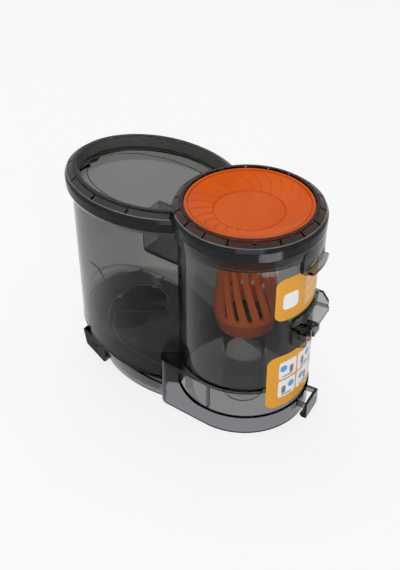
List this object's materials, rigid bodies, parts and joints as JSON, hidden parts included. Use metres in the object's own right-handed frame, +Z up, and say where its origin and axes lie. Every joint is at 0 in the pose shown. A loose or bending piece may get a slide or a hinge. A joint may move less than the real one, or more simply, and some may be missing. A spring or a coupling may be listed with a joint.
{
  "type": "cyclone dust bin",
  "caption": "See-through dust bin of a stick vacuum: an oval dust chamber beside a round cyclone under one lift-off cover, with a twist cap, slotted vortex cone and hinged inlet flap.",
  "frame": {"origin": "on the cyclone axis, at the mouth of the outlet tube, in the plane that the base stands on", "axes": "+X from the dust chamber to the cyclone, +Z up along the cyclone axis"},
  "size_m": [0.1765, 0.091, 0.143],
  "materials": {
    "smoke_plastic": "smoke-grey see-through moulding, glossy",
    "clear_plastic": "lightly smoked clear moulding, glossy",
    "dark_plastic": "dark smoke moulding",
    "orange_plastic": "orange moulding, satin",
    "black_rubber": "moulded rubber",
    "amber_label": "printed film",
    "steel": "plated steel"
  },
  "bodies": {
    "bin": {"bin_body": "smoke_plastic", "base_skirt": "smoke_plastic", "outlet_tube": "clear_plastic", "inlet_duct": "dark_plastic", "inlet_gasket": "black_rubber", "flap_pin": "steel", "upper_label": "amber_label", "lower_label": "amber_label"},
    "cover": {"top_cover": "smoke_plastic", "cyclone_seal": "black_rubber", "dust_chamber_seal": "black_rubber"},
    "cap": {"cyclone_cap": "orange_plastic", "cap_o_ring": "black_rubber", "vortex_cone": "orange_plastic", "cone_seal": "black_rubber"},
    "flap": {"inlet_flap": "dark_plastic"}
  },
  "joints": [
    {"name": "cover_lift", "type": "slide", "parent": "bin", "child": "cover", "axis": [0, 0, 1], "range_m": [0, 0.1]},
    {"name": "cap_twist", "type": "hinge", "parent": "cover", "child": "cap", "pos_m": [0, 0, 0.138], "axis": [0, 0, 1], "range_deg": [0, 30]},
    {"name": "flap_swing", "type": "hinge", "parent": "bin", "child": "flap", "pos_m": [-0.08698, 0.00069, 0.038], "axis": [-0.5736, -0.8192, 0], "range_deg": [0, 60]}
  ]
}
